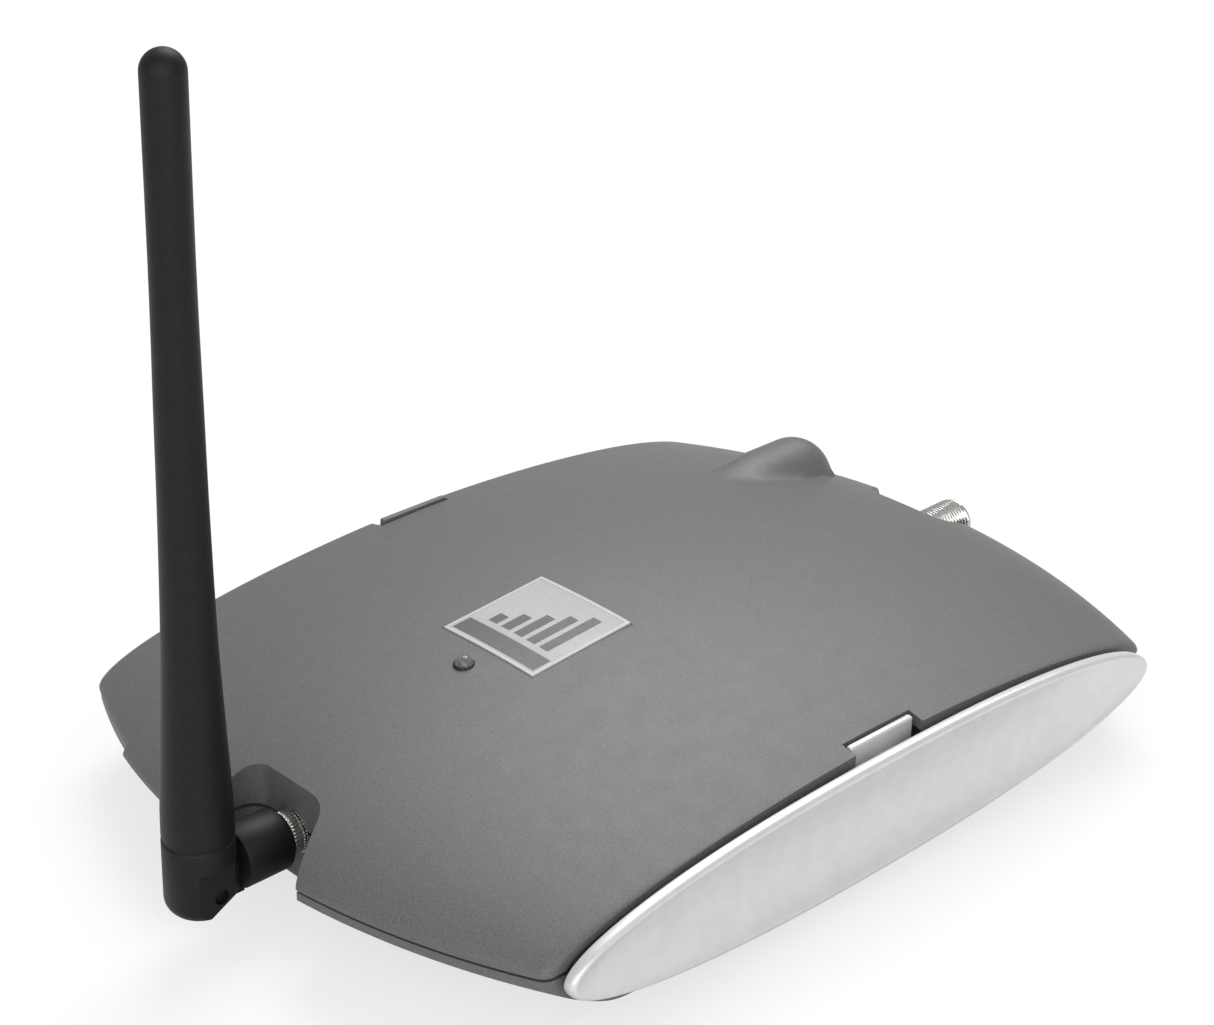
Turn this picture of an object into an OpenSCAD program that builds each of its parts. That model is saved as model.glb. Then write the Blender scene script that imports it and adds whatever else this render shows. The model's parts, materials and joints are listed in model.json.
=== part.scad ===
// Desktop cellular signal booster with a fold-down whip antenna.
// Frame: millimetres, +Z up, origin on the resting plane under the middle of the case.
// The antenna is on the -Y edge, the coax port on the +Y edge, the silver end plates at +X and -X.

/* [Case] */
// Length of the case along Y, at its middle
case_length = 183; // [165:1:220]
// Width of the case along X, between the shell ends
case_width = 124; // [108:1:149]
// How much each long edge falls back from the middle to the ends
edge_bow = 14.5; // [9:0.5:18]
// Height of the top shell above the seam, at the middle
crown_height = 18.7; // [17:0.1:23]
// How far the crown falls from the middle to the ends
crown_fall = 7.4; // [5:0.1:9]
// Depth of the bottom shell below the seam
bottom_depth = 15; // [14:0.5:18]
// Rise of the bottom shell from the middle to the ends
bottom_rise = 3.5; // [2:0.5:5]
// Wall thickness of both shells
wall = 2.2; // [1.8:0.1:2.8]
// Plan radius of the four case corners
corner_r = 6; // [4:0.5:8]
// Height of the shadow groove along the seam
groove_h = 0.7; // [0.4:0.1:1]

/* [Notches] */
// Depth of the recess around each connector
notch_depth = 12.8; // [11:0.1:15.4]
// Distance from the connector axis to the straight side of the recess
notch_left = 10.4; // [9:0.1:13]
// Distance from the connector axis to the root of the flared side
notch_right = 9.1; // [8:0.1:12]
// Flare angle of the slanted side
notch_flare = 30; // [15:1:40]

/* [End plates] */
// Length of each silver end plate
plate_length = 150; // [130:1:176]
// Height of each silver end plate
plate_height = 23.2; // [21:0.2:25]
// Thickness of the plate behind its rim
plate_t = 1.4; // [1.2:0.1:1.8]
// Height of the raised rim bead
rim_h = 0.8; // [0.5:0.1:1.2]
// Width of the rim bead
rim_w = 1.4; // [1:0.1:2]
// Gap from the shell end to the back of the plate
plate_gap = 1.4; // [0.8:0.1:2]
// Gap from the shell end to the back of the far plate
back_gap = 0.6; // [0.4:0.1:1]
// How much lower the far plate's outline is, at the top and at the bottom
back_trim = 1.5; // [0.5:0.1:2.5]
// How much shorter the far plate's outline is, at each tip
back_short = 7; // [4:0.5:10]
// Width of the latch tab
tab_w = 16.2; // [12:0.2:20]
// Sideways offset of the latch tab from the middle of the end
tab_offset = 2.5; // [0:0.5:6]

/* [Badge and lamp] */
// Side of the square badge
badge_side = 24; // [20:0.5:28]
// Distance of the badge centre from the middle of the case
badge_y = 23; // [18:0.5:28]
// Distance of the lamp from the middle of the case
lamp_y = 40.4; // [39:0.2:48]
// Diameter of the lamp lens
lamp_d = 3.2; // [2.6:0.1:4]

/* [Connectors] */
// Height of both connector axes relative to the seam
port_z = -1.3; // [-2:0.1:-1]
// Thread diameter of the coax port
coax_d = 9.5; // [9:0.1:10]
// Length of the coax port outside its recess wall
coax_len = 17.8; // [14:0.1:20]
// Thread diameter of the antenna jack
jack_d = 6.35; // [6:0.05:6.6]
// Bore of the power inlet
inlet_d = 6.2; // [5.8:0.1:6.6]
// Distance of the cable hoods from the middle of the case
hood_x = 27; // [24:0.5:32]

/* [Antenna] */
// Length of the whip from its foot to its tip
whip_length = 148; // [120:1:180]
// Diameter of the whip at its foot
whip_base_d = 12.3; // [11.4:0.1:12.6]
// Diameter of the whip at its tip
whip_tip_d = 7; // [6:0.1:8]
// Sideways lean of the whip at rest
antenna_lean = 2; // [0:0.5:5]
// Diameter of the swivelling elbow
elbow_d = 11.1; // [10.4:0.1:11.6]
// Diameter of the hinge pin
pin_d = 2.7; // [2.4:0.1:3]
// Width of the elbow's tongue
tongue_w = 3.8; // [3:0.1:4.2]

/* [Hidden] */
$fn = 96;
far = 200;
half_x = case_width / 2;
half_y = case_length / 2;
foot_h = 1;
seam_z = bottom_depth + foot_h;

// Surfaces of the case
plan_r = (half_x * half_x + edge_bow * edge_bow) / (2 * edge_bow);
bend_r = (half_x * half_x + crown_fall * crown_fall) / (2 * crown_fall);
cross_fall = 14.294;
cross_r = (half_y * half_y + cross_fall * cross_fall) / (2 * cross_fall);
edge_r = 14;
edge_low = 4;
edge_in = sqrt(edge_r * edge_r - edge_low * edge_low);
belly_bend_r = (half_x * half_x + bottom_rise * bottom_rise) / (2 * bottom_rise);
belly_r = 48;
belly_in = 33.6;
belly_up = belly_r - bottom_depth - 0.7;
lip_in = 0.3;
end_wall_x = half_x - 4;
corner_c = [half_x - corner_r, sqrt(pow(plan_r - corner_r, 2) - pow(half_x - corner_r, 2)) - (plan_r - half_y)];
corner_dir = [corner_c[0], corner_c[1] + plan_r - half_y] / (plan_r - corner_r);
notch_back = half_y - notch_depth;
notch_left_r = 4;
notch_right_r = 6;
hood_r = 8.5;
far_hood_z = 6.3;
far_hood_y = half_y - 8.8;
far_hood_round = hood_r - 0.3;
near_hood_out = 1.6;
near_hood_x = [-hood_x - 11, -hood_x + 10];

// Board and its fastenings
board_t = 1.6;
board_top = port_z - 0.65;
board_low = board_top - board_t;
board_half_x = half_x - 16;
board_half_y = notch_back - 5.7;
board_screw = [board_half_x - 6, board_half_y - 13];
board_screw_d = 2.2;
case_screw = [end_wall_x - wall - 4.7, 26];
case_boss_r = 4.2;
case_screw_d = 2.8;
head_z = 5.2 - bottom_depth;
foot_r = 5;
foot_spot = [half_x - 24, half_y - 36];
foot_top = 2.3 - bottom_depth;
can_h = 5;
can_t = 0.5;
can_x = [6.5, board_half_x - 5];
can_y = [-board_half_y + 21, -1];
pad_t = 1;
spreader_t = 1.5;

// End plates
plate_z = -1.1;
post_y = 35;
post_z = -5;
post_d = 5;
post_hole_d = 5.4;
tab_x = end_wall_x + 1.2;
tab_t = 1.4;
front_rise = 0.2;
back_rise = 0.9;

// Nuts and flanges follow their threads
hex_r = coax_d / 2 + 1.65;
flange_r = jack_d / 2 + 1.025;
jack_nut_r = jack_d / 2 + 1.625;
coupling_r = jack_d / 2 + 0.825;

// Antenna
swivel_z = port_z;
nut_end = notch_back + 0.35;
nut_face = nut_end + 2.6;
elbow_start = nut_face + 0.1;
elbow_end = half_y + 0.25;
whip_y = elbow_end + 0.35 + whip_base_d / 2;
pin_y = whip_y - 0.8;
pin_z = swivel_z - 2.5;
pin_gap = 0.06;
pin_in = 0.9;
tongue_r = 3.4;
slot_gap = 0.3;
fork_back = elbow_end + 2;
fork_top = 2.3;
fork_half = 5;
foot_z = -8;
lead_d = 2.2;
tip_z = whip_length + foot_z;

// Height of the crown above the seam at a point of the plan
function crown_at(x, y) = sqrt(pow(bend_r - cross_r + sqrt(cross_r * cross_r - y * y), 2) - x * x)
    - bend_r + crown_height;

// Points of an arc from angle a to angle b
function arc(c, r, a, b, n = 8) = [for (i = [0:n]) c + r * [cos(a + (b - a) * i / n), sin(a + (b - a) * i / n)]];

// Outline of an end plate, a long superellipse, trimmed at its tips and sides and inset by a margin
function plate_outline(trim, inset, n = 96) = [for (i = [0:n - 1]) let (a = 360 * i / n)
    [(plate_length / 2 - trim[0] - inset) * sign(cos(a)) * pow(abs(cos(a)), 2 / 2.3),
     (plate_height / 2 - trim[1] - inset) * sin(a)]];

module at_seam() {
    translate([0, 0, seam_z]) children();
}

// A cylinder along +Y, from y0 to y1
module rod(r, y0, y1, x = 0, z = port_z) {
    translate([x, y0, z]) rotate([-90, 0, 0]) cylinder(r = r, h = y1 - y0);
}

module four_spots(spot) {
    for (sx = [-1, 1], sy = [-1, 1]) translate([sx * spot[0], sy * spot[1], 0]) children();
}

module both_ends() {
    for (turn = [0, 180]) rotate([0, 0, turn]) children();
}

// Plan outline of the case, between its two bowed edges
module plan_2d(inset, end) {
    intersection() {
        for_edge(1) circle(r = plan_r - inset, $fn = 720);
        for_edge(-1) circle(r = plan_r - inset, $fn = 720);
        square([2 * end, 2 * far], center = true);
    }
}

module for_edge(side) {
    translate([0, -side * (plan_r - half_y)]) children();
}

// Double-curved crown of the top shell
module crown(inset) {
    translate([0, 0, crown_height - bend_r]) rotate([90, 0, 0])
        rotate_extrude(angle = 50, start = 65, $fn = 720) intersection() {
            translate([bend_r - cross_r, 0]) circle(r = cross_r - inset, $fn = 720);
            translate([bend_r - 60, -half_y]) square([80, case_length]);
        }
}

// Rounded shoulder that follows one bowed edge of the top shell
module shoulder(inset) {
    rotate_extrude($fn = 720) intersection() {
        union() {
            translate([plan_r - edge_in, -edge_low]) circle(r = edge_r - inset, $fn = 180);
            translate([0, -20]) square([plan_r - edge_in, 60]);
        }
        translate([0, -20]) square([plan_r + 1, 60]);
    }
}

module top_solid(inset, low) {
    intersection() {
        crown(inset);
        for_edge(1) shoulder(inset);
        for_edge(-1) shoulder(inset);
        translate([-half_x, -far, low]) cube([case_width, 2 * far, 60]);
    }
}

// Curved flank that follows one bowed edge of the bottom shell
module flank(inset) {
    rotate_extrude($fn = 720) intersection() {
        union() {
            translate([plan_r - belly_in, belly_up]) circle(r = belly_r - inset, $fn = 360);
            translate([0, -40]) square([plan_r - belly_in, 60]);
        }
        translate([0, -40]) square([plan_r - lip_in - inset, 60]);
    }
}

module bottom_solid(inset, high) {
    intersection() {
        translate([0, far, belly_bend_r - bottom_depth]) rotate([90, 0, 0])
            cylinder(r = belly_bend_r - inset, h = 2 * far, $fn = 720);
        for_edge(1) flank(inset);
        for_edge(-1) flank(inset);
        translate([-half_x, -far, high - 60]) cube([case_width, 2 * far, 60]);
    }
}

// Cable hood, a round-ended bump lying along Y
module hood(r, end, round_r, z) {
    translate([-hood_x, 40, z]) rotate([-90, 0, 0]) rotate_extrude() intersection() {
        union() {
            square([r, end - 40 - round_r]);
            square([r - round_r, end - 40]);
            translate([r - round_r, end - 40 - round_r]) circle(r = round_r);
        }
        square([far, far]);
    }
}

module far_hood(inset, low) {
    intersection() {
        hood(hood_r - inset, far_hood_y - inset, far_hood_round - inset, far_hood_z);
        translate([-half_x, -far, low]) cube([case_width, 2 * far, 60]);
    }
}

// Low cable hood at the antenna edge, where the shoulder steps outwards
module near_hood() {
    intersection() {
        crown(0);
        for_edge(-1) shoulder(-near_hood_out);
        translate([near_hood_x[0], -far, 0]) cube([near_hood_x[1] - near_hood_x[0], far - 40, 60]);
    }
}

// Recess around a connector: one square side and one flared side
module notch_2d(grow) {
    left_c = [-notch_left + notch_left_r, -notch_back - notch_left_r];
    right_c = [notch_right - notch_right_r * (1 - sin(notch_flare)) / cos(notch_flare), -notch_back - notch_right_r];
    out = right_c + (notch_right_r + grow) * [cos(notch_flare), sin(notch_flare)]
        + 30 * [sin(notch_flare), -cos(notch_flare)];
    polygon(concat(
        [[-notch_left - grow, out[1]]],
        arc(left_c, notch_left_r + grow, 180, 90),
        arc(right_c, notch_right_r + grow, 90, notch_flare),
        [out]));
}

module notches(grow) {
    both_ends() translate([0, 0, -50]) linear_extrude(100) notch_2d(grow);
}

module corner_cuts() {
    for (mx = [0, 1], my = [0, 1]) mirror([mx, 0, 0]) mirror([0, my, 0])
        translate([0, 0, -50]) linear_extrude(100) difference() {
            polygon([corner_c, corner_c + 20 * corner_dir, corner_c + [20, 20], corner_c + [20, 0]]);
            translate(corner_c) circle(r = corner_r);
        }
}

module between_end_walls() {
    cube([2 * (end_wall_x - wall), 2 * far, 2 * far], center = true);
}

module beyond_end_walls() {
    both_ends() translate([end_wall_x, -far, -far]) cube([far, 2 * far, 2 * far]);
}

// Openings that both shells share
module connector_holes() {
    rod(jack_d / 2 + 0.1, -notch_back - 1, -notch_back + wall + 1);
    rod(coax_d / 2 + 0.1, notch_back - wall - 1, notch_back + 1);
}

module power_opening() {
    rod(inlet_d / 2 + 1.1, half_y - 15, half_y, -hood_x, board_top + 6.5);
    rod(inlet_d / 2 + 1.9, half_y - 12, half_y + 5, -hood_x, board_top + 6.5);
}

module latch_slots() {
    both_ends() translate([end_wall_x + 0.7, tab_offset - tab_w / 2 - 0.4, 0])
        cube([20, tab_w + 1.3, 40]);
}

module badge_frame() {
    translate([0, -badge_y, crown_at(0, badge_y)]) rotate([asin(badge_y / cross_r), 0, 0]) children();
}

// ---- Case ----
module top_shell() {
    color("dimgray") at_seam() difference() {
        union() {
            difference() {
                union() {
                    top_solid(0, 0);
                    far_hood(0, 0);
                    near_hood();
                }
                difference() {
                    intersection() {
                        union() {
                            top_solid(wall, -1);
                            far_hood(wall, -1);
                        }
                        between_end_walls();
                    }
                    notches(wall);
                }
                intersection() {
                    top_solid(wall, -1);
                    beyond_end_walls();
                }
            }
            intersection() {
                four_spots(case_screw) cylinder(r = case_boss_r - 0.6, h = 40);
                top_solid(wall / 2, 0);
            }
        }
        notches(0);
        corner_cuts();
        four_spots(case_screw) translate([0, 0, -1]) cylinder(d = case_screw_d + 0.1, h = 7.5);
        badge_frame() translate([0, 0, 4.2]) cube([badge_side + 0.4, badge_side + 0.4, 10], center = true);
        translate([0, -lamp_y, 0]) cylinder(d = lamp_d + 0.3, h = 40);
        connector_holes();
        power_opening();
        latch_slots();
    }
}

module bottom_shell() {
    color("dimgray") at_seam() difference() {
        union() {
            difference() {
                bottom_solid(0, 0);
                difference() {
                    intersection() {
                        bottom_solid(wall, 1);
                        between_end_walls();
                    }
                    notches(wall);
                }
                intersection() {
                    bottom_solid(wall, 1);
                    beyond_end_walls();
                }
            }
            intersection() {
                union() {
                    four_spots(case_screw) translate([0, 0, -40]) cylinder(r = case_boss_r, h = 40);
                    four_spots(board_screw) translate([0, 0, -40]) cylinder(r = 3, h = 40 + board_low);
                }
                bottom_solid(wall / 2, 0);
            }
        }
        notches(0);
        corner_cuts();
        translate([0, 0, -groove_h]) linear_extrude(groove_h + 1) difference() {
            plan_2d(-2, half_x + 1);
            plan_2d(0.9, half_x + 2);
        }
        four_spots(case_screw) translate([0, 0, -40]) cylinder(d = case_screw_d + 0.4, h = 41);
        four_spots(case_screw) translate([0, 0, head_z - 40]) cylinder(r = 3, h = 40);
        four_spots(board_screw) translate([0, 0, board_low - 6]) cylinder(d = board_screw_d + 0.1, h = 7);
        four_spots(foot_spot) translate([0, 0, foot_top - 40]) cylinder(r = foot_r + 0.2, h = 40);
        translate([0, 0, -bottom_depth + 0.3 - 5]) cube([24.4, 50.4, 10], center = true);
        for (sy = [-1, 1]) translate([-far, sy * post_y, post_z]) rotate([0, 90, 0])
            cylinder(d = post_hole_d, h = 2 * far);
        connector_holes();
    }
}

// ---- End plates and latches ----
module end_plate(gap, trim) {
    plate_x = half_x + gap;
    at_seam() {
        translate([plate_x, 0, plate_z]) rotate([90, 0, 90]) {
            linear_extrude(plate_t) polygon(plate_outline(trim, 0));
            linear_extrude(plate_t + rim_h) difference() {
                polygon(plate_outline(trim, 0));
                polygon(plate_outline(trim, rim_w));
            }
        }
        for (sy = [-1, 1]) translate([end_wall_x, sy * post_y, post_z]) rotate([0, 90, 0]) {
            cylinder(r = post_d / 2 + 1.1, h = plate_x - end_wall_x);
            translate([0, 0, -wall - 1]) cylinder(d = post_d, h = wall + 1.1);
        }
    }
}

module end_plate_front() {
    color("silver") end_plate(plate_gap, [0, 0]);
}

module end_plate_back() {
    color("silver") rotate([0, 0, 180]) end_plate(back_gap, [back_short, back_trim]);
}

module latch_tab(gap, rise) {
    top = crown_at(tab_x + tab_t, tab_offset) + rise;
    at_seam() translate([0, tab_offset, 0]) {
        translate([tab_x, -tab_w / 2, 1]) cube([tab_t, tab_w, top - 1]);
        translate([end_wall_x, -5, 2]) cube([tab_x - end_wall_x + 0.1, 10, 4]);
        translate([tab_x + tab_t - 0.1, -6, 3.5]) cube([half_x + gap - tab_x - tab_t + 0.1, 12, 2]);
    }
}

module latch_tab_front() {
    color("silver") latch_tab(plate_gap, front_rise);
}

module latch_tab_back() {
    color("dimgray") rotate([0, 0, 180]) latch_tab(back_gap, back_rise);
}

// ---- Badge and lamp ----
module badge_plate() {
    color("lightgray") at_seam() badge_frame() translate([0, 0, -0.3])
        cube([badge_side, badge_side, 1], center = true);
}

module lamp_lens() {
    shelf = crown_at(0, lamp_y + 3) - wall - 0.5;
    color("whitesmoke") at_seam() translate([0, -lamp_y, 0]) {
        translate([0, 0, board_top + 1.3]) cylinder(d = lamp_d, h = crown_at(0, lamp_y) - board_top - 1.3);
        translate([0, 0, shelf - 1]) cylinder(r = lamp_d / 2 + 1, h = 1);
        translate([0, 0, crown_at(0, lamp_y)]) intersection() {
            sphere(d = lamp_d);
            translate([0, 0, 5]) cube(10, center = true);
        }
    }
}

module lamp_emitter() {
    color("greenyellow") at_seam() translate([0, -lamp_y, board_top + 0.5]) cube([1.6, 1.2, 1], center = true);
}

// ---- Electronics ----
module circuit_board() {
    color("darkgreen") at_seam() difference() {
        translate([-board_half_x, -board_half_y, board_low])
            cube([2 * board_half_x, 2 * board_half_y, board_t]);
        four_spots(board_screw) translate([0, 0, board_low - 1]) cylinder(d = board_screw_d + 0.6, h = board_t + 2);
    }
}

module amplifier_chips() {
    chip = 6;
    color("black") at_seam() for (sx = [-1, 1], row = [0:3])
        translate([sx * (can_x[0] + can_x[1]) / 2, can_y[0] + (can_y[1] - can_y[0]) * (row + 0.5) / 4, board_top])
            translate([-chip / 2, -chip / 2, 0]) cube([chip, chip, 1.2]);
}

module shield_can() {
    size = [can_x[1] - can_x[0], can_y[1] - can_y[0], can_h];
    at_seam() translate([can_x[0], can_y[0], board_top]) difference() {
        cube(size);
        translate([can_t, can_t, -1]) cube([size[0] - 2 * can_t, size[1] - 2 * can_t, can_h + 1 - can_t]);
    }
}

module shield_can_uplink() {
    color("lightsteelblue") mirror([1, 0, 0]) shield_can();
}

module shield_can_downlink() {
    color("lightsteelblue") shield_can();
}

module band_filters() {
    color("beige") at_seam() for (sx = [-1, 1], row = [0, 1])
        translate([sx * 14 - 8, 8 + 14 * row, board_top]) cube([16, 8, 3.2]);
}

module power_parts() {
    at_seam() {
        color("darkslategray") translate([-hood_x - 5, 34, board_top]) cube([10, 10, 4.5]);
        color("slategray") for (i = [0, 1]) translate([-hood_x + 12 + 9 * i, 40, board_top]) cylinder(r = 3.2, h = 5.5);
        color("black") translate([24, 36, board_top]) cube([9, 7, 2]);
    }
}

module thermal_pad() {
    color("lightpink") at_seam() translate([-28, can_y[0] + 4, board_low - pad_t]) cube([56, 44, pad_t]);
}

module heat_spreader() {
    color("silver") at_seam() translate([-32, can_y[0] + 1, board_low - pad_t - spreader_t])
        cube([64, 60, spreader_t]);
}

// ---- Antenna jack ----
module antenna_jack() {
    color("gold") at_seam() difference() {
        union() {
            rod(jack_d / 2, -nut_face + 0.8, -notch_back + wall + 2.6);
            rod(flange_r, -notch_back - 0.25, -notch_back);
        }
        rod(2.4, -nut_face - 1, -nut_face + 2.8);
        rod(2.05, -nut_face, -notch_back + wall + 4);
    }
}

module antenna_jack_insulator() {
    color("white") at_seam() difference() {
        rod(2.05, -nut_face + 2.8, -notch_back + wall + 2.6);
        rod(0.66, -nut_face, -notch_back + wall + 4);
    }
}

module antenna_jack_contact() {
    color("gold") at_seam() difference() {
        rod(0.64, -nut_face + 2.9, -board_half_y + 3);
        rod(0.5, -nut_face + 2, -notch_back + 0.6);
    }
}

module hex_nut(r, bore, y0, y1) {
    difference() {
        translate([0, y0, port_z]) rotate([-90, 0, 0]) cylinder(r = r, h = y1 - y0, $fn = 6);
        rod(bore, y0 - 1, y1 + 1);
    }
}

module antenna_jack_nut() {
    color("gold") at_seam() hex_nut(jack_nut_r, jack_d / 2 + 0.02, -notch_back + wall, -notch_back + wall + 1.8);
}

// ---- Coax port ----
module coax_port() {
    color("silver") at_seam() difference() {
        union() {
            rod(coax_d / 2, notch_back - wall - 2.8, notch_back + coax_len);
            translate([0, notch_back, port_z]) rotate([-90, 30, 0]) cylinder(r = hex_r, h = 2, $fn = 6);
        }
        rod(3.4, notch_back - wall - 4, notch_back + coax_len + 1);
    }
}

module coax_port_insulator() {
    color("white") at_seam() difference() {
        rod(3.38, notch_back - wall - 2.8, notch_back + coax_len - 0.4);
        rod(0.66, notch_back - wall - 4, notch_back + coax_len + 1);
    }
}

module coax_port_contact() {
    color("gold") at_seam() difference() {
        rod(0.64, board_half_y - 3, notch_back + coax_len - 1.4);
        rod(0.45, notch_back + coax_len - 9, notch_back + coax_len);
    }
}

module coax_port_nut() {
    color("silver") at_seam() hex_nut(hex_r, coax_d / 2 + 0.02, notch_back - wall - 2, notch_back - wall);
}

// ---- Power inlet ----
module power_inlet() {
    axis_z = board_top + 6.5;
    color("black") at_seam() difference() {
        union() {
            translate([-hood_x - 4.5, half_y - 27, board_top]) cube([9, 12.8, 11]);
            rod(inlet_d / 2 + 0.9, half_y - 14.3, half_y - 12.1, -hood_x, axis_z);
        }
        rod(inlet_d / 2, half_y - 23, half_y, -hood_x, axis_z);
    }
}

module power_inlet_pin() {
    color("silver") at_seam() rod(1.05, half_y - 23, half_y - 13, -hood_x, board_top + 6.5);
}

// ---- Fasteners, feet and label ----
module board_screws() {
    color("silver") at_seam() four_spots(board_screw) {
        translate([0, 0, board_top]) cylinder(r = 2.2, h = 1.3);
        translate([0, 0, board_low - 4.5]) cylinder(d = board_screw_d, h = 4.5 + board_t + 0.1);
    }
}

module case_screws() {
    color("silver") at_seam() four_spots(case_screw) {
        translate([0, 0, head_z - 1.8]) cylinder(r = 2.7, h = 1.8);
        translate([0, 0, head_z - 0.1]) cylinder(d = case_screw_d, h = 6 - head_z);
    }
}

module rubber_feet() {
    color("black") four_spots(foot_spot) cylinder(r = foot_r, h = seam_z + foot_top);
}

module rating_label() {
    color("white") at_seam() translate([0, 0, -bottom_depth + 0.1]) cube([24, 50, 0.4], center = true);
}

// ---- Antenna ----
module coupling_nut() {
    color("silver") at_seam() difference() {
        rod(coupling_r, -nut_face, -nut_end);
        rod(jack_d / 2 + 0.1, -nut_face + 0.5, 0);
        rod(2.45, -nut_face - 1, 0);
    }
}

module antenna_plug() {
    color("gold") at_seam() {
        rod(2.3, -nut_face - 4, -nut_face + 2.5);
        rod(0.45, -nut_face + 2.4, -notch_back + 0.5);
    }
}

module antenna_elbow() {
    color("black") at_seam() rotate_about_swivel() difference() {
        union() {
            translate([0, -elbow_start, swivel_z]) rotate([90, 0, 0]) {
                cylinder(r1 = elbow_d / 2 - 1, r2 = elbow_d / 2, h = 1);
                translate([0, 0, 1]) cylinder(d = elbow_d, h = elbow_end - elbow_start - 1);
            }
            translate([-tongue_w / 2, -pin_y, pin_z - tongue_r]) cube([tongue_w, pin_y - elbow_end + 1, 2 * tongue_r]);
            translate([-tongue_w / 2, -pin_y, pin_z]) rotate([0, 90, 0]) cylinder(r = tongue_r, h = tongue_w);
        }
        rod(2.32, -nut_face - 4, 0);
        translate([-far / 2, -pin_y, pin_z]) rotate([0, 90, 0]) cylinder(d = pin_d + 0.04, h = far);
    }
}

module rotate_about_swivel() {
    translate([0, 0, swivel_z]) rotate([0, antenna_lean, 0]) translate([0, 0, -swivel_z]) children();
}

module hinge_pin() {
    color("dimgray") at_seam() rotate_about_swivel() translate([pin_in - fork_half, -pin_y, pin_z])
        rotate([0, 90, 0]) cylinder(d = pin_d, h = 2 * (fork_half - pin_in));
}

// Space that the elbow's tongue sweeps as the whip folds out
module tongue_slot() {
    half = tongue_w / 2 + slot_gap;
    clear_r = tongue_r + slot_gap;
    translate([-half, -pin_y, pin_z]) rotate([0, 90, 0]) cylinder(r = clear_r, h = 2 * half);
    translate([-half, -pin_y, pin_z + clear_r - far]) cube([2 * half, far, far]);
    translate([-half, -pin_y - clear_r, pin_z - far]) cube([2 * half, far, far]);
}

module antenna_whip() {
    base = whip_base_d / 2;
    tip = whip_tip_d / 2;
    color("black") at_seam() rotate_about_swivel() difference() {
        translate([0, -whip_y, 0]) rotate_extrude() intersection() {
            union() {
                polygon([[0, foot_z + 3], [base, foot_z + 3], [base, 6], [base - 0.3, 6.3], [base - 0.3, 6.9],
                    [base - 0.05, 7.2], [base - 0.15, 12], [0.85 * base, 27], [0.74 * base, 43],
                    [0.65 * base, 66], [tip + 0.3, 84], [tip + 0.1, 98], [tip, tip_z - 30],
                    [tip, tip_z - tip], [0, tip_z - tip]]);
                translate([0, tip_z - tip]) circle(r = tip);
                translate([base - 3, foot_z + 3]) circle(r = 3);
                translate([0, foot_z]) square([base - 3, 4]);
            }
            translate([0, -20]) square([30, 300]);
        }
        for (side = [-1, 1]) translate([side * (fork_half + 10), -whip_y, fork_top - 20])
            cube([20, 40, 40], center = true);
        translate([-10, -fork_back, fork_top - 30]) cube([20, 20, 30]);
        translate([-10, -fork_back - 0.3, -4.1]) rotate([-61, 0, 0]) translate([0, 0, -10]) cube([20, 20, 10]);
        tongue_slot();
        translate([-far / 2, -pin_y, pin_z]) rotate([0, 90, 0]) cylinder(d = pin_d + 2 * pin_gap, h = far);
        translate([0, -whip_y, -1]) cylinder(d = lead_d, h = tip_z - 10);
    }
}

module antenna_radiator() {
    color("goldenrod") at_seam() rotate_about_swivel() translate([0, -whip_y, 6])
        cylinder(d = lead_d - 0.1, h = tip_z - 18);
}

top_shell();
bottom_shell();
end_plate_front();
end_plate_back();
latch_tab_front();
latch_tab_back();
badge_plate();
lamp_lens();
lamp_emitter();
circuit_board();
amplifier_chips();
shield_can_uplink();
shield_can_downlink();
band_filters();
power_parts();
thermal_pad();
heat_spreader();
antenna_jack();
antenna_jack_insulator();
antenna_jack_contact();
antenna_jack_nut();
coax_port();
coax_port_insulator();
coax_port_contact();
coax_port_nut();
power_inlet();
power_inlet_pin();
board_screws();
case_screws();
rubber_feet();
rating_label();
coupling_nut();
antenna_plug();
antenna_elbow();
hinge_pin();
antenna_whip();
antenna_radiator();
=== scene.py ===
# %% [markdown]
# # A desktop signal booster
# The real object is a two-part plastic case with a soft double curve, a long silver plate at each
# end, and a black whip antenna on a swivelling elbow. The moving parts and every size come from the
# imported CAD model. This script gives the outside its finished surfaces: smooth shells, rounded
# rims, a knurled nut, real threads and materials with grain. Nothing here is moved or resized.

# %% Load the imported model
import json
import math

import bmesh
import bpy
from mathutils import Matrix, Vector


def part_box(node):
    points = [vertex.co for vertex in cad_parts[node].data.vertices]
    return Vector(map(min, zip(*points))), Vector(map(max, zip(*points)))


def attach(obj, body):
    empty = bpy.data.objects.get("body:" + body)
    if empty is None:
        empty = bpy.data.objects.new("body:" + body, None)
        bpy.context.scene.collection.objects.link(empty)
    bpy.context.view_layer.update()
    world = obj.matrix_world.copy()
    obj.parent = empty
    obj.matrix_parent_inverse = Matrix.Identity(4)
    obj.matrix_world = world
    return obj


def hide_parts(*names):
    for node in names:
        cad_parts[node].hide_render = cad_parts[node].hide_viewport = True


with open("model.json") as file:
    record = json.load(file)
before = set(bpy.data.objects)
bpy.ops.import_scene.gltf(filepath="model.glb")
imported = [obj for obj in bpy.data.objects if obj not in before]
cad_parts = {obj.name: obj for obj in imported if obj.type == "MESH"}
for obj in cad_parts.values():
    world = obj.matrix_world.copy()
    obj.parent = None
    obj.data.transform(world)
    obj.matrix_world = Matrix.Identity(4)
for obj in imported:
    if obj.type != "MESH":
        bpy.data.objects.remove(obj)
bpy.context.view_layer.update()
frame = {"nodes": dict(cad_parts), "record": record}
MM = 0.001

# %% [markdown]
# ## Driving sizes
# The CAD boxes give the seam, the crown and the ends of the case. The rest are the few values that
# shape a surface: the bow of the long edges, the wall and the depth of the connector recesses.
# Everything is worked in millimetres and turned into metres as a mesh is made.

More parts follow.
